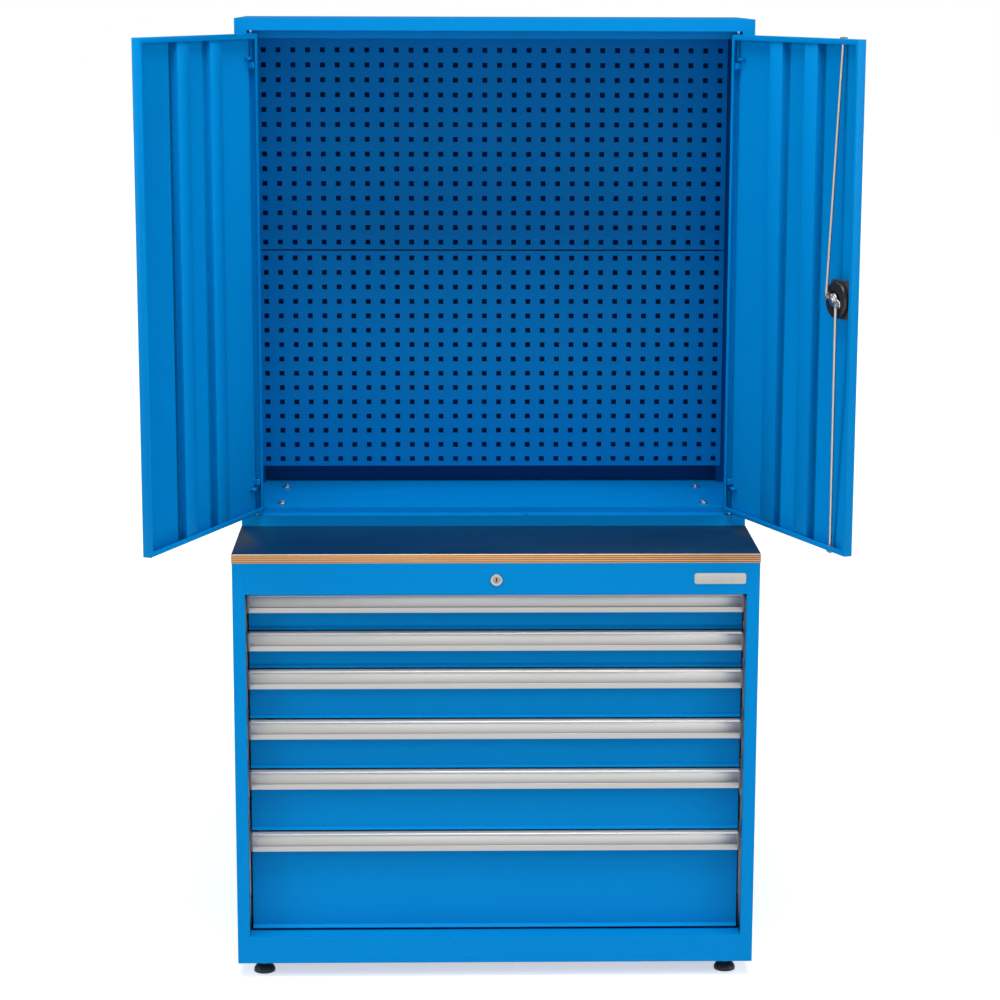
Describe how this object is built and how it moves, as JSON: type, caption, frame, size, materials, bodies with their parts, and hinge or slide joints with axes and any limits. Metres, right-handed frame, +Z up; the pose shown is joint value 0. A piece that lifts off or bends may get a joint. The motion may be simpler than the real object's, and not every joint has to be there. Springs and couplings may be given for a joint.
{
  "type": "tool cabinet with doors",
  "caption": "Tall steel tool cabinet: drawer base with full-width handles under a plywood worktop, and a set-back upper cabinet with perforated back panels and hinged doors.",
  "frame": {"origin": "floor, under the centre of the whole outline with the doors open", "axes": "+Z up, +X to the cabinet's right as seen from the front, +Y to its back"},
  "size_m": [1.2952, 0.7678, 1.837],
  "materials": {
    "blue_steel": "smooth semi-gloss powder coat",
    "worktop_board": "dark blue film face, plywood edge",
    "aluminium": "satin anodised extrusion",
    "black_plastic": "fine moulded grain",
    "grey_plastic": "fine moulded grain",
    "black_steel": "black passivated rolled strip",
    "zinc_steel": "bright zinc plate",
    "zinc_casting": "die-cast zinc, nickel plated"
  },
  "bodies": {
    "cabinet": {"carcass_left_side": "blue_steel", "carcass_right_side": "blue_steel", "carcass_back": "blue_steel", "carcass_top_rail": "blue_steel", "carcass_plinth": "blue_steel", "carcass_floor": "blue_steel", "runner_posts": "zinc_steel", "cabinet_rails": "black_steel", "worktop": "worktop_board", "foot_pads": "black_plastic", "foot_studs": "zinc_steel", "drawer_lock_body": "zinc_casting", "name_plate": "blue_steel", "hutch_left_side": "blue_steel", "hutch_right_side": "blue_steel", "hutch_roof": "blue_steel", "hutch_floor": "blue_steel", "hutch_back": "blue_steel", "peg_panels": "blue_steel", "peg_supports": "blue_steel", "hutch_bolts": "zinc_steel"},
    "left_door": {"left_door_panel": "blue_steel", "left_door_ribs": "blue_steel", "left_hinge_bolts": "blue_steel"},
    "right_door": {"right_door_panel": "blue_steel", "right_door_ribs": "blue_steel", "right_hinge_bolts": "blue_steel", "door_lock_housing": "black_plastic", "rod_guides": "grey_plastic"},
    "door_lock": {"door_handle": "black_plastic", "lock_cam": "zinc_casting"},
    "door_key": {"door_key_plug": "zinc_casting"},
    "upper_locking_rod": {"upper_rod": "zinc_steel"},
    "lower_locking_rod": {"lower_rod": "zinc_steel"},
    "drawer_key": {"drawer_lock_plug": "zinc_casting"},
    "lock_bar": {"drawer_lock_bar": "zinc_steel"},
    "drawer_1": {"drawer_1": "blue_steel", "drawer_handle_1": "aluminium", "handle_caps_1": "black_plastic"},
    "slide_1": {"mid_rails_1": "black_steel"},
    "drawer_2": {"drawer_2": "blue_steel", "drawer_handle_2": "aluminium", "handle_caps_2": "black_plastic"},
    "slide_2": {"mid_rails_2": "black_steel"},
    "drawer_3": {"drawer_3": "blue_steel", "drawer_handle_3": "aluminium", "handle_caps_3": "black_plastic"},
    "slide_3": {"mid_rails_3": "black_steel"},
    "drawer_4": {"drawer_4": "blue_steel", "drawer_handle_4": "aluminium", "handle_caps_4": "black_plastic"},
    "slide_4": {"mid_rails_4": "black_steel"},
    "drawer_5": {"drawer_5": "blue_steel", "drawer_handle_5": "aluminium", "handle_caps_5": "black_plastic"},
    "slide_5": {"mid_rails_5": "black_steel"},
    "drawer_6": {"drawer_6": "blue_steel", "drawer_handle_6": "aluminium", "handle_caps_6": "black_plastic"},
    "slide_6": {"mid_rails_6": "black_steel"}
  },
  "joints": [
    {"name": "left_door_turn", "type": "hinge", "parent": "cabinet", "child": "left_door", "pos_m": [-0.4685, 0.0534, 1.341], "axis": [0, 0, 1], "range_deg": [0, 112]},
    {"name": "right_door_turn", "type": "hinge", "parent": "cabinet", "child": "right_door", "pos_m": [0.4685, 0.0534, 1.341], "axis": [0, 0, -1], "range_deg": [0, 112]},
    {"name": "door_lock_turn", "type": "hinge", "parent": "right_door", "child": "door_lock", "pos_m": [0.62621, -0.33694, 1.342], "axis": [0.9272, 0.3746, 0], "range_deg": [0, 69]},
    {"name": "door_key_turn", "type": "hinge", "parent": "door_lock", "child": "door_key", "pos_m": [0.62621, -0.33694, 1.342], "axis": [0.9272, 0.3746, 0], "range_deg": [0, 90]},
    {"name": "upper_rod_turn", "type": "hinge", "parent": "door_lock", "child": "upper_locking_rod", "pos_m": [0.59509, -0.33119, 1.34852], "axis": [0.9272, 0.3746, 0], "range_deg": [-72, 0]},
    {"name": "lower_rod_turn", "type": "hinge", "parent": "door_lock", "child": "lower_locking_rod", "pos_m": [0.60782, -0.3627, 1.33548], "axis": [0.9272, 0.3746, 0], "range_deg": [-72, 0]},
    {"name": "drawer_key_turn", "type": "hinge", "parent": "cabinet", "child": "drawer_key", "pos_m": [0, -0.2161, 0.795], "axis": [0, -1, 0], "range_deg": [0, 90]},
    {"name": "lock_bar_lift", "type": "slide", "parent": "cabinet", "child": "lock_bar", "axis": [0, 0, 1], "range_m": [0, 0.008]},
    {"name": "drawer_1_slide", "type": "slide", "parent": "cabinet", "child": "drawer_1", "axis": [0, -1, 0], "range_m": [0, 0.5]},
    {"name": "mid_1_slide", "type": "slide", "parent": "cabinet", "child": "slide_1", "axis": [0, -1, 0], "range_m": [0, 0.25]},
    {"name": "drawer_2_slide", "type": "slide", "parent": "cabinet", "child": "drawer_2", "axis": [0, -1, 0], "range_m": [0, 0.5]},
    {"name": "mid_2_slide", "type": "slide", "parent": "cabinet", "child": "slide_2", "axis": [0, -1, 0], "range_m": [0, 0.25]},
    {"name": "drawer_3_slide", "type": "slide", "parent": "cabinet", "child": "drawer_3", "axis": [0, -1, 0], "range_m": [0, 0.5]},
    {"name": "mid_3_slide", "type": "slide", "parent": "cabinet", "child": "slide_3", "axis": [0, -1, 0], "range_m": [0, 0.25]},
    {"name": "drawer_4_slide", "type": "slide", "parent": "cabinet", "child": "drawer_4", "axis": [0, -1, 0], "range_m": [0, 0.5]},
    {"name": "mid_4_slide", "type": "slide", "parent": "cabinet", "child": "slide_4", "axis": [0, -1, 0], "range_m": [0, 0.25]},
    {"name": "drawer_5_slide", "type": "slide", "parent": "cabinet", "child": "drawer_5", "axis": [0, -1, 0], "range_m": [0, 0.5]},
    {"name": "mid_5_slide", "type": "slide", "parent": "cabinet", "child": "slide_5", "axis": [0, -1, 0], "range_m": [0, 0.25]},
    {"name": "drawer_6_slide", "type": "slide", "parent": "cabinet", "child": "drawer_6", "axis": [0, -1, 0], "range_m": [0, 0.5]},
    {"name": "mid_6_slide", "type": "slide", "parent": "cabinet", "child": "slide_6", "axis": [0, -1, 0], "range_m": [0, 0.25]}
  ],
  "couplings": [
    {"joint": "upper_rod_turn", "follows": "door_lock_turn", "ratio": -1.0305},
    {"joint": "lower_rod_turn", "follows": "door_lock_turn", "ratio": -1.0302},
    {"joint": "drawer_key_turn", "follows": "lock_bar_lift", "rad_per_m": 196.3},
    {"joint": "mid_1_slide", "follows": "drawer_1_slide", "ratio": 0.5},
    {"joint": "mid_2_slide", "follows": "drawer_2_slide", "ratio": 0.5},
    {"joint": "mid_3_slide", "follows": "drawer_3_slide", "ratio": 0.5},
    {"joint": "mid_4_slide", "follows": "drawer_4_slide", "ratio": 0.5},
    {"joint": "mid_5_slide", "follows": "drawer_5_slide", "ratio": 0.5},
    {"joint": "mid_6_slide", "follows": "drawer_6_slide", "ratio": 0.5}
  ]
}
